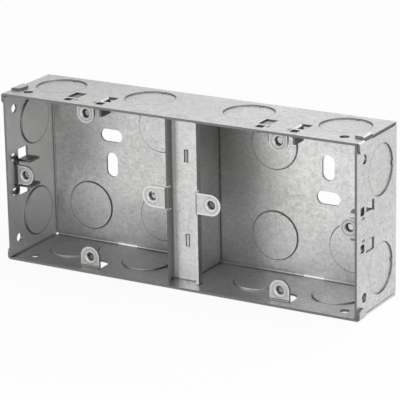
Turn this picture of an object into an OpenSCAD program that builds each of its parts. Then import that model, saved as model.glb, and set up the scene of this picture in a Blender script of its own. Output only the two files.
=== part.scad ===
// Twin flush back box of folded galvanised sheet, with two gangs side by side.
// It stands on its bottom wall, opens towards -Y, and its origin is the centre of its base.

/* [Box] */
// Width over the side walls
body_w = 159; // [158:0.5:164]
// Height over the top and bottom walls
body_h = 70.5; // [70:0.5:74]
// Depth from the front edge to the rear face
body_d = 35; // [32:1:47]
// Sheet thickness of the body
sheet_t = 1; // [0.8:0.1:1.1]
// Outer radius of the folds round the back
bend_r = 1.6; // [1.5:0.1:2.5]
// Gap in the open seams at the corners
seam_gap = 0.3; // [0.2:0.1:0.5]

/* [Gangs] */
// Distance of each gang's centre from the middle of the box
gang_x = 43.5; // [43:0.5:44]
// Distance between the two screw holes of a pair
lug_pitch = 60.3; // [60:0.1:60.5]
// Setback of the lug faces from the front edge
lug_set = 5; // [4.5:0.5:6]

/* [Lugs] */
// Width of a lug tongue
tongue_w = 8.7; // [8:0.1:9.5]
// Diameter of the tapped hole, drawn plain
tap_d = 3.2; // [2.9:0.1:3.5]
// Diameter of the rounded-off entry in front of a tapped hole
entry_d = 4.2; // [3.8:0.1:4.6]
// Outer diameter of the drawn collar behind a tapped hole
collar_d = 5.4; // [5:0.1:6]
// Length of the drawn collar
collar_l = 1.2; // [0.8:0.1:2]
// Thickness of the separate lug plates
plate_t = 1.2; // [1:0.1:1.3]
// Width of the tongue of a separate lug plate
plate_w = 7.8; // [7.4:0.1:8.4]
// Height of a lug plate's crossbar
bar_h = 1; // [0.8:0.1:1.6]
// Clearance between a crossbar and the wall
bar_gap = 0.2; // [0.1:0.1:0.4]
// Distance of each ear from the middle of its lug plate
ear_x = 7.4; // [7.3:0.05:7.5]
// Length of an ear through the depth of the box
ear_l = 3.2; // [2.8:0.1:3.4]
// Length along the wall of the slot that takes an ear
ear_slot_w = 3.3; // [3:0.1:3.5]

/* [Knockouts] */
// Diameter of a knockout
ko_d = 20.5; // [19:0.5:21]
// Depth to which a knockout is half-sheared into the box
ko_push = 0.55; // [0.4:0.05:0.6]
// Distance of the wall knockouts from the front edge
ko_y = 20.4; // [20:0.1:20.8]
// Width of the tie left at a knockout's edge
tie_w = 1.6; // [1.2:0.1:3]

/* [Fixings] */
// Length of a back fixing slot
slot_l = 10.4; // [9:0.1:11]
// Width of a back fixing slot
slot_w = 5.4; // [5:0.1:6]
// Diameter of the small holes near the wall ends
pip_d = 3.8; // [3:0.1:4.2]

/* [Channel] */
// Half the width of the centre channel
chan_half = 7; // [6.5:0.1:7.5]
// Setback of the channel's front edges
chan_set = 5.5; // [5.5:0.1:6]
// Setback of the channel's web from the front edge of the box
web_set = 8.9; // [8.5:0.1:10]
// Distance of each web slot above and below the middle
web_slot_z = 17.4; // [16:0.1:18]
// Height of a web slot
web_slot_h = 5.2; // [4:0.1:6]
// Width of a web slot
web_slot_w = 2; // [1.6:0.1:2.4]
// Sideways position of the divider's middle plane
divider_x = 0.4; // [0:0.1:0.6]
// Thickness of the divider
divider_t = 1.2; // [1:0.1:1.4]

/* [Hidden] */
$fn = 48;
eps = 0.01;
half_w = body_w / 2;
half_h = body_h / 2;
in_h = half_h - sheet_t;
lug_r = tongue_w / 2;
hole_off = lug_pitch / 2;

// Knockouts: places along the walls, and from a gang's centre on the back
top_ko = [-64.5, -22.5, 22.5, 64.5];
bottom_ko = [-61, -26, 26, 61];
side_ko = [-19.7, 19.7];
back_ko = [[-17.3, -18.9], [17.3, 18.9], [17.3, -18.9]];
slug_play = 0.4;
shear_l = 0.25;
tie_l = 0.6;

// Back fixing slots: one above the other, outboard of each gang's centre
slot_x = 50;
slot_z = 12.5;

// Small holes near the wall ends
pip_x = 71.2;
pip_z = 27.5;
pip_y = 6.2;

// Lug plates: the folds that turn their ears forward, and the slots that take the ears
ear_r = 0.2;
ear_front = lug_set + plate_t - ear_l;
ear_fold_x = ear_x - plate_t / 2 - ear_r;
ear_slot_r = 0.5;
ear_in = 0.5;
bar_fillet = 0.8;

// Windows beside the lug plates, and the flaps bent in from them
win_in = 4.7;
win_out = 10;
win_front = 7.7;
win_back = 14.6;
flap_reach = 6.6;
flap_r = 0.2;

// Tabs folded over the side walls at the front corners, and clenched over the top wall
skin_gap = 0.1;
tab_front = 0.3;
tab_w = 5;
tab_l = 4.5;
tab_r = 1.8;
lock_front = 6;
lock_w = 7;
lock_l = 4.5;

// Lower lugs lanced from the floor, and the channel's lugs bent out from its flanges
lance_side = 0.5;
lance_back = 14.5;
lug_fold_r = 0.3;
relief_w = 0.6;
relief_l = 1.6;
chan_r = 2;

// Play of the divider's tenons along their slots, at each end
tenon_play = 0.35;

// Moves what is drawn from the middle of the front plane into the box's own frame
module placed() {
    translate([0, -body_d / 2, half_h]) children();
}

// Puts children on a wall: X runs along it, Y is the depth from the front edge, +Z points
// out of the box and Z = 0 is the outer face. On the back, Y is the height.
module on_wall(side) {
    if (side == "top") translate([0, 0, half_h]) children();
    if (side == "bottom") translate([0, 0, -half_h]) mirror([0, 0, 1]) children();
    if (side == "right") translate([half_w, 0, 0]) mirror([1, 0, -1]) children();
    if (side == "left") mirror([1, 0, 0]) translate([half_w, 0, 0]) mirror([1, 0, -1]) children();
    if (side == "back") translate([0, body_d, 0]) mirror([0, 1, -1]) children();
}

// Stands a flat drawing up: its Y becomes the height and its thickness the depth
module stood_up() {
    mirror([0, 1, -1]) children();
}

// Puts children at the middle of a wall and at its mirror image across X
module both_ways() {
    for (s = [0, 1]) mirror([s, 0, 0]) children();
}

// Outline with two round corners at its far end
module round_ended(w, l, r) {
    translate([-w / 2, 0]) square([w, l - r]);
    translate([-w / 2 + r, 0]) square([w - 2 * r, l]);
    for (s = [-1, 1]) translate([s * (w / 2 - r), l - r]) circle(r);
}

// Rectangle with four round corners
module round_cornered(w, l, r) {
    square([w - 2 * r, l], center = true);
    square([w, l - 2 * r], center = true);
    for (x = [-1, 1], y = [-1, 1]) translate([x * (w / 2 - r), y * (l / 2 - r)]) circle(r);
}

// Outline of a slot with round ends, long along X
module slot_outline(l, w) {
    square([l - w, w], center = true);
    for (s = [-1, 1]) translate([s * (l - w) / 2, 0]) circle(d = w);
}

// Section of a sheet folded to a U that opens towards -Y
module u_section(w, l, r) {
    difference() {
        round_ended(w, l, r);
        translate([0, -eps]) round_ended(w - 2 * sheet_t, l - sheet_t + eps, r - sheet_t);
    }
}

// Section of a right-angled fold, between a sheet that arrives along +X and one that leaves along -Y
module fold_section(r_in, t = sheet_t) {
    intersection() {
        difference() {
            circle(r_in + t);
            circle(r_in);
        }
        square(r_in + t);
    }
}

// Tab with round corners, folded from the end of a sheet that arrives along +X
module folded_tab(w, l) {
    linear_extrude(w) fold_section(skin_gap);
    translate([skin_gap, 0, w / 2]) rotate([0, 90, 0]) linear_extrude(sheet_t)
        mirror([0, 1]) round_ended(w, l - sheet_t - skin_gap, tab_r);
}

// Two opposite walls and the back between them, folded from one strip
module wall_strip(across, along) {
    flat = along - 2 * bend_r;
    translate([0, 0, -flat / 2]) linear_extrude(flat) u_section(across, body_d, bend_r);
    for (x = [-across / 2, across / 2 - sheet_t])
        translate([x, 0, -along / 2]) cube([sheet_t, body_d - bend_r, along]);
}

// The blank folded up, with open corners: the side walls stop short of the other two
module folded_blank() {
    side_l = 2 * (in_h - seam_gap);
    mirror([1, 0, -1]) wall_strip(body_h, body_w);
    intersection() {
        wall_strip(body_w, body_h);
        translate([-body_w, -1, -side_l / 2]) cube([2 * body_w, body_d + 2, side_l]);
    }
}

// Pocket of a half-sheared knockout and the shear line inside it, whole at the tie on its +Y side
module ko_pocket() {
    difference() {
        union() {
            translate([0, 0, -ko_push]) cylinder(d = ko_d, h = ko_push + 1);
            translate([0, 0, -sheet_t - 1]) cylinder(d = ko_d, h = 1 + shear_l);
        }
        translate([-tie_w / 2, ko_d / 2 - tie_l, -sheet_t - 2]) cube([tie_w, 2 * tie_l, sheet_t + 4]);
    }
}

// Slug of the same knockout, standing proud inside
module ko_slug() {
    translate([0, 0, -sheet_t - ko_push]) cylinder(d = ko_d - slug_play, h = sheet_t);
}

module at_knockouts() {
    for (x = top_ko) on_wall("top") translate([x, ko_y, 0]) children();
    for (x = bottom_ko) on_wall("bottom") translate([x, ko_y, 0]) children();
    for (side = ["left", "right"], z = side_ko) on_wall(side) translate([z, ko_y, 0]) children();
    for (s = [-1, 1], p = back_ko) on_wall("back") translate([s * (gang_x - p[0]), p[1], 0]) children();
}

// Back fixing slots: one lies flat and one stands upright behind each gang
module back_slots() {
    for (s = [-1, 1], upper = [0, 1])
        on_wall("back") translate([s * slot_x, upper * slot_z, -2])
            rotate((s > 0) == (upper > 0) ? 90 : 0) linear_extrude(3) slot_outline(slot_l, slot_w);
}

module small_holes() {
    for (side = ["top", "bottom"])
        on_wall(side) both_ways() translate([pip_x, pip_y, -2]) cylinder(d = pip_d, h = 3);
    for (side = ["left", "right"])
        on_wall(side) both_ways() translate([pip_z, pip_y, -2]) cylinder(d = pip_d, h = 3);
}

module at_inserted_lugs() {
    for (s = [-1, 1]) on_wall("top") translate([s * gang_x, 0, 0]) children();
    for (side = ["left", "right"]) on_wall(side) children();
}

// Windows and ear slots in the wall beside an inserted lug plate
module lug_cutouts() {
    both_ways() {
        translate([win_in, win_front, -2]) cube([win_out - win_in, win_back - win_front, 3]);
        translate([ear_x, ear_front + ear_l / 2, -2]) linear_extrude(3)
            round_cornered(ear_slot_w, ear_l, ear_slot_r);
    }
}

// Flaps bent into the box from the inner edges of those windows
module lug_flaps() {
    root = sheet_t + flap_r;
    both_ways() translate([win_in, win_front, 0]) stood_up()
        linear_extrude(win_back - win_front) {
            translate([0, -root]) fold_section(flap_r);
            translate([flap_r, -flap_reach]) square([sheet_t, flap_reach - root]);
        }
}

// Tapped hole, drawn plain, with its rounded-off entry in front
module tapped_hole(l) {
    translate([0, 0, -1]) cylinder(d = tap_d, h = l + 2);
    translate([0, 0, -eps]) cylinder(d1 = entry_d + 2 * eps, d2 = tap_d, h = (entry_d - tap_d) / 2 + eps);
}

// Lug tongue that hangs down by the given reach to its tapped hole, with a collar behind
module tongue(w, reach, t) {
    difference() {
        union() {
            linear_extrude(t) {
                translate([-w / 2, -reach]) square([w, reach]);
                translate([0, -reach]) circle(w / 2);
            }
            translate([0, -reach, 0]) cylinder(d = collar_d, h = t + collar_l);
        }
        translate([0, -reach, 0]) tapped_hole(t + collar_l);
    }
}

// Lower lug, lanced from the floor and folded up
module lanced_lug() {
    root = sheet_t + lug_fold_r;
    translate([-lug_r, lug_set - lug_fold_r, -root]) rotate([90, 0, 90])
        linear_extrude(tongue_w) fold_section(lug_fold_r);
    translate([0, lug_set, -root]) stood_up()
        tongue(tongue_w, half_h - hole_off - root, sheet_t);
}

// Opening that a lower lug leaves in the floor, as round at its end as the lug was
module lance_cutout() {
    w = tongue_w + 2 * lance_side;
    l = lance_back - lug_set + lug_fold_r;
    translate([0, lug_set - lug_fold_r, -2]) linear_extrude(3) {
        translate([-w / 2, 0]) square([w, l - w / 2]);
        translate([0, l - w / 2]) circle(d = w);
    }
}

// T-shaped lug plate: a tongue on a crossbar, whose ends turn forward into ears that stand in the
// wall's slots, short of its outer face
module lug_plate(reach) {
    top = sheet_t + bar_gap;
    low = top + bar_h;
    translate([0, lug_set, 0]) stood_up() {
        translate([0, -top, 0]) tongue(plate_w, reach - top, plate_t);
        linear_extrude(plate_t) {
            translate([-ear_fold_x, -low]) square([2 * ear_fold_x, bar_h]);
            both_ways() translate([plate_w / 2, -low - bar_fillet]) difference() {
                square(bar_fillet);
                translate([bar_fillet, 0]) circle(bar_fillet);
            }
        }
    }
    both_ways() translate([0, 0, -low]) linear_extrude(low - ear_in) {
        translate([ear_fold_x, lug_set - ear_r]) fold_section(ear_r, plate_t);
        translate([ear_fold_x + ear_r, ear_front]) square([plate_t, lug_set - ear_r - ear_front]);
    }
}

// Channel lug: folded out from the front of a flange, with a relief notch above and below it
module channel_lug() {
    root = chan_half + lug_fold_r;
    fold_y = lug_set + sheet_t + lug_fold_r;
    translate([root, fold_y, -lug_r]) linear_extrude(tongue_w) rotate(180) fold_section(lug_fold_r);
    translate([root, lug_set, 0]) rotate([0, -90, 0]) stood_up()
        tongue(tongue_w, gang_x - hole_off - root, sheet_t);
}

module channel_cutouts() {
    fold_y = lug_set + sheet_t + lug_fold_r;
    notch_h = tongue_w + 2 * relief_w;
    translate([chan_half - 1.5 * sheet_t, 0, -lug_r]) cube([2 * sheet_t, fold_y, tongue_w]);
    for (z = [-notch_h / 2, lug_r])
        translate([chan_half - 1.5 * sheet_t, 0, z])
            cube([2 * sheet_t, chan_set + relief_l, relief_w]);
}

module body() {
    color("gainsboro") placed() difference() {
        union() {
            difference() {
                folded_blank();
                at_knockouts() ko_pocket();
                at_inserted_lugs() lug_cutouts();
                for (s = [-1, 1]) on_wall("bottom") translate([s * gang_x, 0, 0]) lance_cutout();
                both_ways() on_wall("top")
                    translate([half_w - sheet_t - skin_gap, lock_front - skin_gap, -2])
                        cube([3, lock_w + 2 * skin_gap, 3]);
            }
            at_knockouts() ko_slug();
            at_inserted_lugs() lug_flaps();
            for (s = [-1, 1]) on_wall("bottom") translate([s * gang_x, 0, 0]) lanced_lug();
            for (side = ["top", "bottom"])
                both_ways() on_wall(side) translate([half_w, tab_front, -sheet_t - skin_gap])
                    stood_up() folded_tab(tab_w, tab_l);
            both_ways() on_wall("right") {
                translate([half_h, lock_front, -sheet_t - skin_gap]) stood_up() folded_tab(lock_w, lock_l);
                translate([in_h - 1, lock_front, -sheet_t]) cube([sheet_t + 1, lock_w, sheet_t]);
            }
        }
        back_slots();
        small_holes();
    }
}

module centre_channel() {
    color("whitesmoke") placed() difference() {
        union() {
            difference() {
                translate([0, chan_set, -in_h]) linear_extrude(2 * in_h)
                    u_section(2 * chan_half, web_set + sheet_t - chan_set, chan_r);
                both_ways() channel_cutouts();
            }
            both_ways() channel_lug();
        }
        for (s = [-1, 1]) translate([divider_x, web_set, s * web_slot_z])
            cube([web_slot_w, 3 * sheet_t, web_slot_h], center = true);
    }
}

// Divider: its rear corners are clipped to clear the folds, and its tenons stand in the web's slots
module divider_plate() {
    front = web_set + sheet_t;
    back = body_d - sheet_t;
    clip = bend_r - sheet_t;
    tenon_h = web_slot_h - 2 * tenon_play;
    color("dimgray") placed() translate([divider_x - divider_t / 2, 0, 0]) {
        rotate([90, 0, 90]) linear_extrude(divider_t)
            polygon([[front, -in_h], [back - clip, -in_h], [back, clip - in_h],
                     [back, in_h - clip], [back - clip, in_h], [front, in_h]]);
        for (s = [-1, 1]) translate([0, web_set, s * web_slot_z - tenon_h / 2])
            cube([divider_t, sheet_t + eps, tenon_h]);
    }
}

module lug_top_left() {
    color("silver") placed() on_wall("top") translate([-gang_x, 0, 0]) lug_plate(half_h - hole_off);
}

module lug_top_right() {
    color("silver") placed() on_wall("top") translate([gang_x, 0, 0]) lug_plate(half_h - hole_off);
}

module lug_left() {
    color("silver") placed() on_wall("left") lug_plate(half_w - gang_x - hole_off);
}

module lug_right() {
    color("silver") placed() on_wall("right") lug_plate(half_w - gang_x - hole_off);
}

body();
centre_channel();
divider_plate();
lug_top_left();
lug_top_right();
lug_left();
lug_right();
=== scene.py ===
# Twin galvanised flush back box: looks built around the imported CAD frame, in metres.
import math

import bpy
import numpy as np
from mathutils import Euler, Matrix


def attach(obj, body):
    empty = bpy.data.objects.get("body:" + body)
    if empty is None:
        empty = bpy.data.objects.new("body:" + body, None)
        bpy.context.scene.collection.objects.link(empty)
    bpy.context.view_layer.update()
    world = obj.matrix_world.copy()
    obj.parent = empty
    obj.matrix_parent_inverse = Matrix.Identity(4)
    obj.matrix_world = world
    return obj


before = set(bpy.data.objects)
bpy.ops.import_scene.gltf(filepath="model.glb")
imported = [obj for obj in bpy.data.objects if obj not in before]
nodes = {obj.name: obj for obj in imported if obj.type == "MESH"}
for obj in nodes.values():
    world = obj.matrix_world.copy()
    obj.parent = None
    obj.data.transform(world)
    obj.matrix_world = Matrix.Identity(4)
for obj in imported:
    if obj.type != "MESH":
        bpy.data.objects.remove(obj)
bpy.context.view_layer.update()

print("frame loaded:", ", ".join(sorted(nodes)))

cameraSet = {
    "place": (0.46957, -0.79685, 0.32853),   # from the photograph's perspective
    "turn": (72.2227, 1.0279, 30.1141),      # degrees, XYZ order
    "lens": 220.28,                          # mm
    "sensor": 36.0,                          # mm
    "nearest": 0.01,
    "farthest": 50.0,
}


def makeCamera(v):
    data = bpy.data.cameras.new("photoCamera")
    data.lens = v["lens"]
    data.sensor_width = v["sensor"]
    data.clip_start = v["nearest"]
    data.clip_end = v["farthest"]
    camera = bpy.data.objects.new("photoCamera", data)
    camera.location = v["place"]
    camera.rotation_euler = Euler([math.radians(a) for a in v["turn"]], "XYZ")
    bpy.context.scene.collection.objects.link(camera)
    bpy.context.scene.camera = camera


makeCamera(cameraSet)
bpy.context.scene.view_settings.view_transform = "Standard"
print("camera set")


# A node with its settings, and its sockets either linked or given a value
def addNode(tree, kind, inputs=None, **settings):
    node = tree.nodes.new(kind)
    for name, value in settings.items():
        setattr(node, name, value)
    for name, value in (inputs or {}).items():
        fillSocket(tree, node.inputs[name], value)
    return node


def fillSocket(tree, socket, value):
    if isinstance(value, bpy.types.NodeSocket):
        tree.links.new(value, socket)
    else:
        socket.default_value = value


def calc(tree, operation, a, b=0.0, clamp=False):
    return addNode(tree, "ShaderNodeMath", {0: a, 1: b}, operation=operation, use_clamp=clamp).outputs[0]


# The first value, worked on in turn by pairs of operation and second value
def chain(tree, value, *steps):
    for operation, other in steps:
        value = calc(tree, operation, value, other)
    return value


# All values multiplied together, as masks are where each has to hold
def product(tree, *values):
    return chain(tree, values[0], *[("MULTIPLY", value) for value in values[1:]])


def remap(tree, value, low, high, toLow=0.0, toHigh=1.0):
    return addNode(tree, "ShaderNodeMapRange", {"Value": value, "From Min": low, "From Max": high,
                                               "To Min": toLow, "To Max": toHigh}).outputs[0]


# The same the other way: 1 up to the first end of the span and 0 past the second
def fade(tree, value, span):
    return remap(tree, value, span[0], span[1], 1.0, 0.0)


def length2(tree, a, b):
    return calc(tree, "SQRT", calc(tree, "ADD", calc(tree, "MULTIPLY", a, a), calc(tree, "MULTIPLY", b, b)))


def largest(tree, values):
    top = values[0]
    for value in values[1:]:
        top = calc(tree, "MAXIMUM", top, value)
    return top


def mixColour(tree, share, a, b):
    node = tree.nodes.new("ShaderNodeMix")
    node.data_type = "RGBA"
    for index, value in ((0, share), (6, a), (7, b)):   # the node's factor and its two colours
        fillSocket(tree, node.inputs[index], value)
    return node.outputs[2]


def separate(tree, vector):
    return addNode(tree, "ShaderNodeSeparateXYZ", {0: vector}).outputs


# A node group with its inputs and outputs declared: floats have a default, vectors have none
def newGroup(name, vectors, floats, outputs):
    group = bpy.data.node_groups.new(name, "ShaderNodeTree")
    for label in vectors:
        group.interface.new_socket(label, in_out="INPUT", socket_type="NodeSocketVector")
    for label, value in floats.items():
        socket = group.interface.new_socket(label, in_out="INPUT", socket_type="NodeSocketFloat")
        socket.default_value = value
    for label, kind in outputs.items():
        group.interface.new_socket(label, in_out="OUTPUT", socket_type="NodeSocket" + kind)
    return group, group.nodes.new("NodeGroupInput")


stageSet = {
    "floorHalf": 6.0,
    "floorTone": 0.92,
    "floorGlow": 0.88,   # share of plain white that the camera sees in the floor
    "fillLevel": 0.62,   # strength of the even light from all round
}


def lightPathShare(tree):
    path = addNode(tree, "ShaderNodeLightPath")
    share = calc(tree, "MAXIMUM", path.outputs["Is Camera Ray"], path.outputs["Is Glossy Ray"])
    return calc(tree, "MAXIMUM", share, path.outputs["Is Transmission Ray"])


def makeStage(v):
    world = bpy.data.worlds.new("studio")
    bpy.context.scene.world = world
    world.use_nodes = True
    tree = world.node_tree
    tree.nodes.clear()
    white = addNode(tree, "ShaderNodeBackground", {"Color": (1, 1, 1, 1), "Strength": 1.0})
    soft = addNode(tree, "ShaderNodeBackground", {"Color": (1, 1, 1, 1), "Strength": v["fillLevel"]})
    mix = addNode(tree, "ShaderNodeMixShader", {0: lightPathShare(tree), 1: soft.outputs[0],
                                                2: white.outputs[0]})
    addNode(tree, "ShaderNodeOutputWorld", {"Surface": mix.outputs[0]})

    half = v["floorHalf"]
    corners = [(-half, -half, 0), (half, -half, 0), (half, half, 0), (-half, half, 0)]
    mesh = bpy.data.meshes.new("floor")
    mesh.from_pydata(corners, [], [(0, 1, 2, 3)])
    floor = bpy.data.objects.new("floor", mesh)
    bpy.context.scene.collection.objects.link(floor)
    material = bpy.data.materials.new("paleFloor")
    material.use_nodes = True
    tree = material.node_tree
    tree.nodes.clear()
    tone = v["floorTone"]
    matt = addNode(tree, "ShaderNodeBsdfDiffuse", {"Color": (tone, tone, tone, 1)})
    glow = addNode(tree, "ShaderNodeEmission", {"Color": (1, 1, 1, 1), "Strength": 1.0})
    share = calc(tree, "MULTIPLY", lightPathShare(tree), v["floorGlow"])
    mix = addNode(tree, "ShaderNodeMixShader", {0: share, 1: matt.outputs[0], 2: glow.outputs[0]})
    addNode(tree, "ShaderNodeOutputMaterial", {"Surface": mix.outputs[0]})
    mesh.materials.append(material)


# A square lamp whose -Z looks at the target
def makeLamp(name, place, target, size, power):
    data = bpy.data.lights.new(name, "AREA")
    data.shape = "SQUARE"
    data.size = size
    data.energy = power
    lamp = bpy.data.objects.new(name, data)
    lamp.location = place
    aim = np.array(target, float) - np.array(place, float)
    flat = math.hypot(aim[0], aim[1])
    lamp.rotation_euler = Euler((math.atan2(flat, -aim[2]), 0.0, math.atan2(-aim[0], aim[1])), "XYZ")
    lamp.visible_camera = False
    bpy.context.scene.collection.objects.link(lamp)


lampAim = (0, 0, 0.035)   # the middle of the box
lampSet = {
    "overhead": {"place": (0.75, -0.1, 1.3), "size": 0.9, "power": 5.5},
    "rightSide": {"place": (1.3, -0.5, 0.6), "size": 0.8, "power": 5.0},
    "behind": {"place": (0.1, 1.3, 0.65), "size": 0.6, "power": 1.5},
    "front": {"place": (0.25, -1.5, 0.2), "size": 0.7, "power": 3.5},
    "frontLeft": {"place": (-0.75, -1.2, 0.3), "size": 0.6, "power": 4.8},
}

makeStage(stageSet)
for lampName, lamp in lampSet.items():
    makeLamp(lampName, lamp["place"], lampAim, lamp["size"], lamp["power"])
print("stage and lamps set")


skinSet = {
    # scale, detail and roughness of each noise
    "clouds": (46.0, 4.0, 0.62), "patches": (13.0, 2.0, 0.5), "grain": (2400.0, 3.0, 0.7),
    "mottle": (1000.0, 4.0, 0.7), "specks": (1150.0, 0.0, 0.5), "hue": (30.0, 2.0, 0.5),
    "spangleScale": 560.0,
    "rollStretch": 0.10,                     # the rolled grain is ten times longer along X
    # stretch of a noise that is used, and how far it swings the level
    "cloudRange": (0.32, 0.68), "cloudSwing": 0.26, "patchRange": (0.35, 0.65), "patchSwing": 0.24,
    "fineRange": (0.3, 0.7), "grainSwing": 0.13, "mottleSwing": 0.28, "spangleSwing": 0.10,
    "middle": 0.55,                          # share of the light level, from 0 dark to 1 light
    "speckRange": (0.745, 0.80), "speckTone": 0.66,
    "hueRange": (0.35, 0.65), "leastBlue": 0.985, "mostBlue": 1.01,
    "roughSwing": 0.10, "fineHeight": 0.5, "cloudHeight": 2.5,
}


# Zinc skin, all on object coordinates: slow clouds, fine spangle, rolling grain and sparse dark specks
def makeZincSkin(v):
    group, entry = newGroup("zincSkin", ["Vector"],
                            {"Light": 0.62, "Dark": 0.40, "Cloud": 1.0, "Grain": 1.0, "Rough": 0.34},
                            {"Color": "Color", "Roughness": "Float", "Height": "Float"})
    where = entry.outputs["Vector"]

    def noise(label, vector=where):
        scale, detail, rough = v[label]
        return addNode(group, "ShaderNodeTexNoise", {"Vector": vector, "Scale": scale, "Detail": detail,
                                                     "Roughness": rough}).outputs["Fac"]

    def swing(value, span, reach):
        return remap(group, value, span[0], span[1], -reach, reach)

    clouds = noise("clouds")
    spangle = addNode(group, "ShaderNodeTexVoronoi", {"Vector": where, "Scale": v["spangleScale"],
                                                      "Randomness": 1.0})
    tint = addNode(group, "ShaderNodeSeparateColor", {"Color": spangle.outputs["Color"]}).outputs[0]
    rolled = addNode(group, "ShaderNodeMapping", {"Vector": where, "Scale": (v["rollStretch"], 1.0, 1.0)})
    grain = noise("grain", rolled.outputs[0])
    mottle = noise("mottle")

    slow = calc(group, "ADD", swing(clouds, v["cloudRange"], v["cloudSwing"]),
                swing(noise("patches"), v["patchRange"], v["patchSwing"]))
    slow = calc(group, "MULTIPLY", slow, entry.outputs["Cloud"])
    fine = calc(group, "ADD", swing(grain, v["fineRange"], v["grainSwing"]),
                swing(mottle, v["fineRange"], v["mottleSwing"]))
    fine = calc(group, "ADD", fine, swing(tint, (0.0, 1.0), v["spangleSwing"]))
    fine = calc(group, "MULTIPLY", fine, entry.outputs["Grain"])
    both = calc(group, "ADD", slow, fine)
    share = calc(group, "ADD", both, v["middle"], clamp=True)
    level = addNode(group, "ShaderNodeMapRange", {"Value": share, "To Min": entry.outputs["Dark"],
                                                 "To Max": entry.outputs["Light"]}).outputs[0]
    level = calc(group, "MULTIPLY", level, remap(group, noise("specks"), *v["speckRange"], 1.0, v["speckTone"]))
    blue = calc(group, "MULTIPLY", level,
                remap(group, noise("hue"), *v["hueRange"], v["leastBlue"], v["mostBlue"]))
    grey = addNode(group, "ShaderNodeCombineColor", {0: level, 1: level, 2: blue}).outputs[0]
    rough = calc(group, "SUBTRACT", entry.outputs["Rough"], calc(group, "MULTIPLY", both, v["roughSwing"]))
    height = chain(group, grain, ("ADD", mottle), ("MULTIPLY", v["fineHeight"]),
                   ("ADD", calc(group, "MULTIPLY", clouds, v["cloudHeight"])))
    addNode(group, "NodeGroupOutput", {"Color": grey, "Roughness": rough, "Height": height})
    return group


# Places on the box that its marks are worked out from, in metres
plan = {
    "halfWidth": 0.0795, "height": 0.0705, "mid": 0.03525, "back": 0.0175, "sheet": 0.001, "gangX": 0.0435,
    "knockDepth": 0.0029, "knockTop": 0.021, "knockBottom": 0.0175, "knockSide": 0.0197,
    "knockBackX": 0.0173, "knockBackZ": 0.0189, "knockRadius": 0.01026, "slugRadius": 0.00995,
    "dividerX": 0.0004, "dividerHalf": 0.0006, "webFront": -0.0086,
    "lugReach": 0.03015, "lugFace": -0.0125, "barDeep": 0.0013,
    "flapFrom": 0.0046, "flapTo": 0.0104, "flapRoot": 0.0004, "flapDeep": 0.0063,
    "flapFront": -0.0101, "flapRear": -0.0026,
}

# How far the marks reach: metres, apart from shares and the parts of a normal
markSet = {
    "skinDepth": 0.00165,                    # what still belongs to a wall
    "ringReach": 0.0008, "scoreHalf": 0.00018,
    "scoreElsewhere": 0.76,                  # share of the line on walls other than the back
    "rimShare": 0.85,                        # thins the line on a slug's rim on the back and the floor
    "clearOfRing": 0.3,
    "turnedIn": 0.5, "sideTurnedIn": -0.04,  # the second is X times its part of the normal
    "outerSkin": 0.00005, "flushFacing": (0.3, 0.6), "insideSlack": 0.0004,
    "creaseReach": 0.0011, "creaseCore": 0.25, "plateCorner": 0.7,
    "rearCorner": 2.0, "rearFrom": (0.003, 0.009), "rearShare": 0.4,
    "dashCorner": 1.2, "dashHalf": 0.0048, "dashFade": 0.9,
    "edgeFacing": (0.5, 0.9),
}

# Where painted shade darkens the zinc, on the floor and inside the back
paintedShadeSet = {
    "shadeFacing": (0.3, 0.8),
    "lowBack": (0.003, 0.026),               # height over which the painted shade fades up the back
    "middleFade": (-0.005, 0.005), "rightShare": 0.33,
    "leftFade": (-0.065, -0.02), "leftShare": 0.45,
    "plateFade": (0.003, 0.017), "plateShare": 0.70, "plateRise": (0.015, 0.055),
    "patchX": -0.066, "patchZ": 0.056, "patchFade": (0.006, 0.028), "patchShare": 0.27,
}


# 1 on the line round each knockout, taken from five places that the walls' knockouts are folded onto.
# Seen from inside, the rim of the raised slug has a line too
def nearKnockouts(group, v, part):
    def ring(u, w, zone, radius=v["knockRadius"]):
        off = chain(group, length2(group, u, w), ("SUBTRACT", radius), ("ABSOLUTE", 0.0))
        return calc(group, "MULTIPLY", zone, fade(group, off, (0.0, v["ringReach"])))

    def less(value, label):
        return calc(group, "SUBTRACT", value, v[label])

    deep = less(part["y"], "knockDepth")
    topX = less(part["fromGang"], "knockTop")
    bottomX = less(part["fromGang"], "knockBottom")
    sideZ = less(part["fromMid"], "knockSide")
    backX = less(part["fromGang"], "knockBackX")
    backZ = less(part["fromMid"], "knockBackZ")
    upperOuter = calc(group, "MULTIPLY", calc(group, "GREATER_THAN", part["wide"], v["gangX"]),
                      calc(group, "GREATER_THAN", part["z"], v["mid"]))
    onKnockBack = calc(group, "MULTIPLY", part["onBack"], calc(group, "SUBTRACT", 1.0, upperOuter))
    sideInside = product(group, part["onSide"], calc(
        group, "LESS_THAN", calc(group, "MULTIPLY", part["x"], part["nx"]), v["sideTurnedIn"]))
    floorInside = product(group, part["onBottom"],
                          calc(group, "GREATER_THAN", part["nz"], v["turnedIn"]), v["rimShare"])
    backInside = product(group, onKnockBack,
                         calc(group, "LESS_THAN", part["ny"], -v["turnedIn"]), v["rimShare"])
    return largest(group, [
        ring(topX, deep, part["onTop"]),
        ring(bottomX, deep, part["onBottom"]),
        ring(sideZ, deep, part["onSide"]),
        ring(backX, backZ, onKnockBack),
        ring(sideZ, deep, sideInside, v["slugRadius"]),
        ring(bottomX, deep, floorInside, v["slugRadius"]),
        ring(backX, backZ, backInside, v["slugRadius"])])


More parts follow.
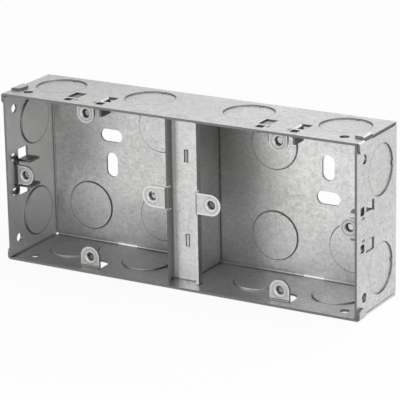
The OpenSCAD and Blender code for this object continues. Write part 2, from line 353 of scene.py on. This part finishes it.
# 1 on faces that stand square to the wall they are in, away from the knockouts' lines
def cutFaces(group, v, part, near):
    upright = [calc(group, "ABSOLUTE", part[label]) for label in ("nx", "ny", "nz")]
    sideWall = calc(group, "MULTIPLY", part["onSide"], largest(group, [
        calc(group, "GREATER_THAN", part["endOff"], 0.0),
        calc(group, "LESS_THAN", part["z"], v["mid"]),
        calc(group, "GREATER_THAN", part["wide"], v["halfWidth"] + v["outerSkin"])]))
    flush = largest(group, [
        calc(group, "MULTIPLY", upright[2], calc(group, "MAXIMUM", part["onTop"], part["onBottom"])),
        calc(group, "MULTIPLY", upright[0], sideWall),
        calc(group, "MULTIPLY", upright[1], part["onBack"])])
    inSheet = largest(group, [part["onTop"], part["onBottom"], part["onSide"], part["onBack"]])
    return product(group, inSheet, fade(group, flush, v["flushFacing"]),
                   calc(group, "LESS_THAN", near, v["clearOfRing"]))


# Two masks along the inner corners of the box: the dark creases, partly grime and partly painted contact shade,
# and a painted glint in the rear fold of the floor behind each lower lug
def foldMarks(group, v, part):
    plateOff = chain(group, part["x"], ("SUBTRACT", v["dividerX"]), ("ABSOLUTE", 0.0),
                     ("SUBTRACT", v["dividerHalf"]))
    inside = product(group, *[calc(group, "GREATER_THAN", part[label], -v["insideSlack"])
                              for label in ("endOff", "sideOff", "backOff")])
    behindWeb = calc(group, "GREATER_THAN", part["y"], v["webFront"])

    def corner(a, b, size=1.0):
        share = calc(group, "DIVIDE", length2(group, a, b), v["creaseReach"] * size)
        return fade(group, share, (v["creaseCore"], 1.0))

    rear = product(group, corner(part["endOff"], part["backOff"], v["rearCorner"]),
                   remap(group, part["fromGang"], *v["rearFrom"]), v["rearShare"])
    crease = largest(group, [
        corner(part["sideOff"], part["backOff"]),
        corner(part["sideOff"], part["endOff"]),
        corner(part["backOff"], plateOff, v["plateCorner"]),
        calc(group, "MULTIPLY", corner(part["endOff"], plateOff, v["plateCorner"]), behindWeb),
        rear])
    dash = product(group, corner(part["endOff"], part["backOff"], v["dashCorner"]),
                   fade(group, part["fromGang"], (v["dashHalf"] * v["dashFade"], v["dashHalf"])),
                   inside, calc(group, "LESS_THAN", part["z"], v["mid"]))
    return calc(group, "MULTIPLY", crease, inside), dash


# Painted shade on the zinc: on the floor and up the foot of the back, less so to the right and at the far left,
# beside the divider in the right gang, and in a patch at the upper left
def paintedShadeMask(group, v, part):
    low, high = v["shadeFacing"]
    x, z = part["x"], part["z"]
    floorFace = calc(group, "MULTIPLY", part["onBottom"], remap(group, part["nz"], low, high))
    backFace = calc(group, "MULTIPLY", part["onBack"], remap(group, part["ny"], -low, -high))
    foot = calc(group, "MULTIPLY", backFace, fade(group, z, v["lowBack"]))
    dull = product(group, calc(group, "MAXIMUM", floorFace, foot),
                   remap(group, x, *v["middleFade"], 1.0, v["rightShare"]),
                   remap(group, x, *v["leftFade"], v["leftShare"], 1.0))
    byPlate = product(group, calc(group, "GREATER_THAN", x, v["dividerX"]),
                      remap(group, x, *v["plateFade"], v["plateShare"], 0.0),
                      remap(group, z, *v["plateRise"]))
    fromPatch = length2(group, calc(group, "SUBTRACT", x, v["patchX"]), calc(group, "SUBTRACT", z, v["patchZ"]))
    patch = remap(group, fromPatch, *v["patchFade"], v["patchShare"], 0.0)
    return calc(group, "MAXIMUM", dull,
                calc(group, "MULTIPLY", backFace, calc(group, "MAXIMUM", byPlate, patch)))


# 1 on the flaps that are bent in beside the lug plates, where painted shade darkens them
def flapMask(group, v, part):
    def between(value, low, high):
        return calc(group, "MULTIPLY", calc(group, "GREATER_THAN", value, low),
                    calc(group, "LESS_THAN", value, high))

    def flapAt(along, deep):
        return calc(group, "MULTIPLY", between(along, v["flapFrom"], v["flapTo"]),
                    between(deep, v["flapRoot"], v["flapDeep"]))

    flap = calc(group, "MAXIMUM", flapAt(part["fromGang"], part["endOff"]),
                flapAt(part["fromMid"], part["sideOff"]))
    return calc(group, "MULTIPLY", flap, between(part["y"], v["flapFront"], v["flapRear"]))


# Marks that shearing and folding leave on the box, with masks for painted shade and a painted glint. Score is
# the line round the knockouts, and Wall Shade is 1 in and close to the four walls, where the ears and crossbars
# of the lug plates are and painted shade darkens them
def makeSheetMarks(v):
    labels = ("Score", "Cut", "Crease", "Painted Shade", "Flap", "Glint", "Hidden")
    group, entry = newGroup("sheetMarks", ["Vector", "Normal"], {}, {label: "Float" for label in labels})
    x, y, z = separate(group, entry.outputs["Vector"])
    nx, ny, nz = separate(group, entry.outputs["Normal"])
    wide = calc(group, "ABSOLUTE", x)
    fromMid = calc(group, "ABSOLUTE", calc(group, "SUBTRACT", z, v["mid"]))
    skin = v["skinDepth"]
    part = {
        "x": x, "y": y, "z": z, "nx": nx, "ny": ny, "nz": nz, "wide": wide, "fromMid": fromMid,
        "fromGang": calc(group, "ABSOLUTE", calc(group, "SUBTRACT", wide, v["gangX"])),
        "onTop": calc(group, "GREATER_THAN", z, v["height"] - skin),
        "onBottom": calc(group, "LESS_THAN", z, skin),
        "onSide": calc(group, "GREATER_THAN", wide, v["halfWidth"] - skin),
        "onBack": calc(group, "GREATER_THAN", y, v["back"] - skin),
        # depths below the inner faces of the side walls, the back, and the top and bottom walls
        "sideOff": calc(group, "SUBTRACT", v["halfWidth"] - v["sheet"], wide),
        "backOff": calc(group, "SUBTRACT", v["back"] - v["sheet"], y),
        "endOff": calc(group, "SUBTRACT", v["mid"] - v["sheet"], fromMid),
    }
    near = nearKnockouts(group, v, part)
    edge = v["scoreHalf"] / v["ringReach"]
    score = calc(group, "MULTIPLY", remap(group, near, 1.0 - 1.5 * edge, 1.0 - 0.5 * edge),
                 remap(group, part["onBack"], 0.0, 1.0, v["scoreElsewhere"], 1.0))
    crease, dash = foldMarks(group, v, part)
    hidden = calc(group, "LESS_THAN", calc(group, "MINIMUM", part["endOff"], part["sideOff"]), v["barDeep"])
    addNode(group, "NodeGroupOutput", {
        "Score": score, "Cut": cutFaces(group, v, part, near), "Crease": crease,
        "Painted Shade": paintedShadeMask(group, v, part), "Flap": flapMask(group, v, part), "Glint": dash,
        "Hidden": hidden})
    return group


# Reaches on a screw lug, in metres from its hole's centre or its middle line, and parts of the normal
lugMarkSet = {
    "faceMiddle": 0.0004, "faceDepth": 0.0012, "tipReach": 0.006, "barReach": 0.0050, "frontFacing": -0.7,
    "rimFade": (0.0002, 0.0007), "holeLip": 0.0021, "ringFade": (0.0001, 0.0006),
    "grooveRadius": 0.003, "grooveFade": (0.0001, 0.0004),
    "sideFrom": 0.9, "sideFacing": (0.3, 0.6), "boreFade": (0.00165, 0.0018), "boreDepth": 0.005,
}


# Marks on the screw lugs: Face is 1 on the front of a tongue, where painted shade darkens it, Rim on its outer
# border and Ring on the lip round its hole, both for painted highlights, Groove on the line round that, Bore
# inside the hole for painted shade, and Side on the sheared edge. The eight lugs are folded onto one, and each
# is a bar with a round end
def makeLugMarks(v):
    labels = ("Face", "Rim", "Ring", "Groove", "Bore", "Side")
    group, entry = newGroup("lugMarks", ["Vector", "Normal"], {"Half Width": 0.00435},
                            {label: "Float" for label in labels})
    x, y, z = separate(group, entry.outputs["Vector"])
    facing = separate(group, entry.outputs["Normal"])[1]
    a = chain(group, x, ("ABSOLUTE", 0.0), ("SUBTRACT", v["gangX"]), ("ABSOLUTE", 0.0))
    b = chain(group, z, ("SUBTRACT", v["mid"]), ("ABSOLUTE", 0.0))
    along = calc(group, "MAXIMUM", a, b)
    aside = calc(group, "MINIMUM", a, b)
    short = calc(group, "SUBTRACT", v["lugReach"], along)
    border = length2(group, aside, calc(group, "MAXIMUM", short, 0.0))
    hole = length2(group, aside, short)
    offFace = chain(group, y, ("SUBTRACT", v["lugFace"] + v["faceMiddle"]), ("ABSOLUTE", 0.0))
    nearBar = product(group, calc(group, "LESS_THAN", offFace, v["faceDepth"]),
                      calc(group, "LESS_THAN", short, v["tipReach"]),
                      calc(group, "LESS_THAN", border, v["barReach"]))
    frontBar = calc(group, "MULTIPLY", nearBar, calc(group, "LESS_THAN", facing, v["frontFacing"]))
    half = entry.outputs["Half Width"]
    rim = fade(group, calc(group, "SUBTRACT", half, border), v["rimFade"])
    ring = fade(group, calc(group, "SUBTRACT", hole, v["holeLip"]), v["ringFade"])
    groove = fade(group, chain(group, hole, ("SUBTRACT", v["grooveRadius"]), ("ABSOLUTE", 0.0)),
                  v["grooveFade"])
    side = calc(group, "MULTIPLY",
                calc(group, "GREATER_THAN", border, calc(group, "MULTIPLY", half, v["sideFrom"])),
                fade(group, calc(group, "ABSOLUTE", facing), v["sideFacing"]))
    bore = calc(group, "MULTIPLY", fade(group, hole, v["boreFade"]),
                calc(group, "LESS_THAN", y, v["lugFace"] + v["boreDepth"]))
    addNode(group, "NodeGroupOutput", {
        "Face": frontBar,
        "Rim": calc(group, "MULTIPLY", frontBar, rim),
        "Ring": calc(group, "MULTIPLY", frontBar, ring),
        "Groove": calc(group, "MULTIPLY", frontBar, groove),
        "Bore": bore,
        "Side": calc(group, "MULTIPLY", nearBar, side)})
    return group


# Mask of a sheared front edge: 1 where the surface faces -Y in front of a given depth, from West to East
def makeFrontEdge(v):
    group, entry = newGroup("frontEdge", ["Vector", "Normal"], {"Front": -0.0165, "West": -1.0, "East": 1.0},
                            {"Mask": "Float"})
    aside, depth, _ = separate(group, entry.outputs["Vector"])
    facing = separate(group, entry.outputs["Normal"])[1]
    mask = product(group, calc(group, "LESS_THAN", depth, entry.outputs["Front"]),
                   remap(group, calc(group, "MULTIPLY", facing, -1.0), *v["edgeFacing"]),
                   calc(group, "GREATER_THAN", aside, entry.outputs["West"]),
                   calc(group, "LESS_THAN", aside, entry.outputs["East"]))
    addNode(group, "NodeGroupOutput", {"Mask": mask})
    return group


zincSkin = makeZincSkin(skinSet)
sheetMarks = makeSheetMarks(plan | markSet | paintedShadeSet)
lugMarks = makeLugMarks(plan | lugMarkSet)
frontEdge = makeFrontEdge(markSet)
print("finishes prepared")


# Stretches of the whole box where painted shade or painted light goes
zoneSet = {
    "flankFacing": (0.05, 0.35),             # faces turned to the sides, for painted shade
    "footFrom": 0.0006, "footTo": 0.0002,    # short of the inner faces of the top and bottom walls
    "westFade": (-0.08, 0.03), "upperFade": (0.02, 0.06),
    "westWallFacing": (0.4, 0.8), "westWallEdge": -0.07,
    "blueShare": 0.985,                      # blue of a painted grey
    "bumpDistance": 0.0001,
}


# Galvanised sheet with its own levels, dark where it is sheared or scored, with painted shade laid over
# creases, slots, bores, flaps, lug faces and stretches of the box, and painted light and highlights on the left
# wall, lug rims and a fold
def makeSteel(name, v, zone):
    material = bpy.data.materials.new(name)
    material.use_nodes = True
    tree = material.node_tree
    tree.nodes.clear()
    where = addNode(tree, "ShaderNodeTexCoord")

    def place(group, values):
        node = addNode(tree, "ShaderNodeGroup", node_tree=group)
        for label in ("Vector", "Normal"):
            if label in node.inputs:
                tree.links.new(where.outputs["Object" if label == "Vector" else "Normal"], node.inputs[label])
        for label, value in values.items():
            node.inputs[label].default_value = value
        return node

    skin = place(zincSkin, {"Light": v["light"], "Dark": v["dark"], "Cloud": v["cloud"], "Grain": v["grain"],
                            "Rough": v["rough"]})
    marks = place(sheetMarks, {})
    lug = place(lugMarks, {"Half Width": v["lugHalf"]})
    edge = place(frontEdge, {"Front": v["edgeFront"], "West": v["edgeWest"], "East": v["edgeEast"]})
    x, _, z = separate(tree, where.outputs["Object"])
    sides = separate(tree, where.outputs["Normal"])[0]
    flank = remap(tree, calc(tree, "ABSOLUTE", sides), *zone["flankFacing"])
    inner = plan["mid"] - plan["sheet"]
    foot = remap(tree, calc(tree, "ABSOLUTE", calc(tree, "SUBTRACT", z, plan["mid"])),
                 inner - zone["footFrom"], inner - zone["footTo"])
    west = calc(tree, "MULTIPLY", fade(tree, x, zone["westFade"]), calc(tree, "SUBTRACT", 1.0, flank))
    upper = remap(tree, z, *zone["upperFade"])
    westWall = calc(tree, "MULTIPLY", remap(tree, sides, *zone["westWallFacing"]),
                    calc(tree, "LESS_THAN", x, zone["westWallEdge"]))

    def grey(level):
        return (level, level, level * zone["blueShare"], 1)

    # each layer lies over the ones before it
    layers = (
        # painted shade on the floor, up the foot of the back, beside the divider and at the upper left
        (marks.outputs["Painted Shade"], v["shadeShare"], v["shadeTone"]),
        # painted shade on faces turned to the sides
        (flank, v["flankShadeShare"], v["shadeTone"]),
        # painted shade towards the left of the box
        (west, v["westShadeShare"], v["shadeTone"]),
        # painted shade higher up, where the top wall shades the divider
        (upper, v["upperShadeShare"], v["shadeTone"]),
        # painted light on the inner face of the left wall
        (westWall, v["paintedLightShare"], v["paintedLightTone"]),
        # dark where the channel meets the top and bottom walls: partly grime, partly painted contact shade
        (foot, v["footShadeShare"], v["cutAndShadeTone"]),
        # painted shade on the bent-in flaps
        (marks.outputs["Flap"], v["flapShadeShare"], v["cutAndShadeTone"]),
        # painted shade on the lug faces
        (lug.outputs["Face"], v["faceShadeShare"], v["faceShadeTone"]),
        # painted highlights on the tongue's border and round its hole
        (lug.outputs["Rim"], v["rimShare"], v["rimHighlightTone"]),
        (lug.outputs["Ring"], v["rimShare"], v["rimHighlightTone"]),
        # creases: partly grime, partly painted contact shade in the inner corners
        (marks.outputs["Crease"], v["creaseShare"], v["creaseTone"]),
        # painted glint in the rear fold of the floor
        (marks.outputs["Glint"], v["glintShare"], v["glintTone"]),
        (lug.outputs["Groove"], v["grooveShare"], v["cutAndShadeTone"]),
        # sheared faces: dark bare steel, deepened to near black as painted shade in slots, windows and holes
        (marks.outputs["Cut"], v["cutShare"], v["cutAndShadeTone"]),
        (lug.outputs["Side"], v["cutShare"], v["sideTone"]),
        # painted shade on the lug plates close to the walls
        (marks.outputs["Hidden"], v["wallShadeShare"], v["wallShadeTone"]),
        # painted shade inside the tapped holes
        (lug.outputs["Bore"], v["boreShadeShare"], v["cutAndShadeTone"]),
        (edge.outputs["Mask"], 1.0, v["edgeTone"]),
        # line round the knockouts: partly grime, partly painted shade in the shear gap
        (marks.outputs["Score"], v["scoreShare"], v["scoreTone"]),
    )
    colour = skin.outputs["Color"]
    for mask, share, tone in layers:
        colour = mixColour(tree, calc(tree, "MULTIPLY", mask, share), colour, grey(tone))
    bump = addNode(tree, "ShaderNodeBump", {"Strength": v["bump"], "Distance": zone["bumpDistance"],
                                            "Height": skin.outputs["Height"]})
    shader = addNode(tree, "ShaderNodeBsdfPrincipled", {
        "Base Color": colour, "Roughness": skin.outputs["Roughness"], "Normal": bump.outputs[0],
        "Metallic": v["metallic"]})
    addNode(tree, "ShaderNodeOutputMaterial", {"Surface": shader.outputs[0]})
    return material


# Levels of the zinc, and for each mark its tone and the share of it that shows
steelSet = {
    "cloud": 0.4, "grain": 1.4, "rough": 0.44, "metallic": 1.0, "bump": 0.25, "lugHalf": 0.00435,
    "edgeTone": 0.16, "edgeFront": -0.0165, "edgeWest": -1.0, "edgeEast": 1.0,
    "rimShare": 0.42, "rimHighlightTone": 0.74, "creaseShare": 0.7, "creaseTone": 0.10,
    "cutShare": 0.85, "cutAndShadeTone": 0.06, "sideTone": 0.16, "scoreShare": 0.92, "scoreTone": 0.07,
    "shadeShare": 0.70, "shadeTone": 0.14, "flankShadeShare": 0.0, "westShadeShare": 0.30, "upperShadeShare": 0.0,
    "paintedLightShare": 0.0, "paintedLightTone": 0.95, "footShadeShare": 0.0, "wallShadeShare": 0.0, "wallShadeTone": 0.03,
    "flapShadeShare": 0.8, "boreShadeShare": 0.8, "grooveShare": 0.25, "glintShare": 0.6, "glintTone": 0.9,
    "faceShadeShare": 0.45, "faceShadeTone": 0.26,
}
bodySet = steelSet | {"light": 0.74, "dark": 0.47, "paintedLightShare": 0.6}
channelSet = steelSet | {
    "light": 0.68, "dark": 0.46, "rough": 0.42, "cutShare": 0.0, "shadeShare": 0.0, "rimHighlightTone": 0.9,
    "glintShare": 0.0, "faceShadeShare": 0.15, "footShadeShare": 0.7, "flankShadeShare": 0.75, "flapShadeShare": 0.0,
    "edgeFront": -0.0115, "edgeWest": -0.0075, "edgeEast": 0.0, "edgeTone": 0.12,
}
dividerSet = steelSet | {
    "light": 0.60, "dark": 0.34, "cloud": 0.8, "rough": 0.40, "cutShare": 0.0, "westShadeShare": 0.0,
    "upperShadeShare": 0.7, "shadeShare": 0.0, "flapShadeShare": 0.0, "glintShare": 0.0,
}
lugSet = steelSet | {
    "light": 0.60, "dark": 0.40, "rough": 0.36, "lugHalf": 0.0039, "cutShare": 0.0, "shadeShare": 0.0,
    "flapShadeShare": 0.0, "edgeFront": -0.05, "wallShadeShare": 0.9,
}

steels = {
    "body": makeSteel("bodySteel", bodySet, zoneSet),
    "centre_channel": makeSteel("channelSteel", channelSet, zoneSet),
    "divider_plate": makeSteel("dividerSteel", dividerSet, zoneSet),
    "lug": makeSteel("lugSteel", lugSet, zoneSet),
}
for name, node in nodes.items():
    steel = steels["lug" if name.startswith("lug") else name]
    if node.data.materials:
        node.data.materials[0] = steel
    else:
        node.data.materials.append(steel)
print("galvanised finishes set")


threadSet = {
    "minor": 0.00144, "wall": 0.00163, "pitch": 0.0006, "play": 0.00004,
    "fadeTurns": 0.5, "turnSteps": 40, "alongSteps": 40, "inset": 0.00008, "front": -0.0120,
    # lengths behind the coned entry, in the lug plates and in the lugs of the sheet
    "longSleeve": 0.0019, "shortSleeve": 0.0017,
}


# Tapped thread as a closed ring. For angle a and depth d the inner radius is the wall's radius less the
# thread's height times a triangle wave of (d / pitch - a / full turn), faded at both ends; the outer
# wall runs back at one radius inside the lug's own hole wall
def threadShell(v, centre, length):
    angle = np.linspace(0.0, 2 * np.pi, v["turnSteps"], endpoint=False)
    depth = np.linspace(v["inset"], length - v["inset"], v["alongSteps"])
    a, d = np.meshgrid(angle, depth, indexing="ij")
    phase = (d / v["pitch"] - a / (2 * np.pi)) % 1.0
    wave = np.abs(2 * phase - 1)
    fromEnd = np.minimum(d - v["inset"], length - v["inset"] - d)
    ease = np.clip(fromEnd / (v["fadeTurns"] * v["pitch"]), 0, 1)
    inner = v["wall"] - v["play"] - (v["wall"] - v["minor"]) * wave * ease
    radius = np.concatenate([inner, np.full((len(angle), 2), v["wall"])], axis=1)
    depthAll = np.concatenate([d, np.tile([length - v["inset"], v["inset"]], (len(angle), 1))], axis=1)
    aAll = np.repeat(angle[:, None], depthAll.shape[1], axis=1)
    points = np.stack([centre[0] + radius * np.cos(aAll), centre[1] + depthAll,
                       centre[2] + radius * np.sin(aAll)], axis=-1)
    rows, cols = points.shape[:2]
    i, j = np.meshgrid(np.arange(rows), np.arange(cols), indexing="ij")
    iNext, jNext = (i + 1) % rows, (j + 1) % cols
    quads = np.stack([i * cols + j, i * cols + jNext, iNext * cols + jNext, iNext * cols + j], axis=-1)
    return points.reshape(-1, 3), quads.reshape(-1, 4)


def meshPiece(name, points, quads, material):
    mesh = bpy.data.meshes.new(name)
    mesh.from_pydata(points.tolist(), [], quads.tolist())
    mesh.polygons.foreach_set("use_smooth", np.full(len(mesh.polygons), True))
    mesh.materials.append(material)
    mesh.update()
    piece = bpy.data.objects.new(name, mesh)
    bpy.context.scene.collection.objects.link(piece)
    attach(piece, "root")


# One thread for each of the eight lugs, named by its gang and its side of the gang
def makeThreads(v):
    reach = plan["lugReach"]
    for gang, gangName in ((-1, "left"), (1, "right")):
        outer, inner = ("west", "east") if gang < 0 else ("east", "west")
        lugs = ((gang * reach, 0, outer, "longSleeve"), (-gang * reach, 0, inner, "shortSleeve"),
                (0, reach, "upper", "longSleeve"), (0, -reach, "lower", "shortSleeve"))
        for dx, dz, place, sleeve in lugs:
            centre = (gang * plan["gangX"] + dx, v["front"], plan["mid"] + dz)
            points, quads = threadShell(v, centre, v[sleeve])
            meshPiece(f"thread_{gangName}_{place}", points, quads, steels["lug"])


makeThreads(threadSet)
print("threads cut")
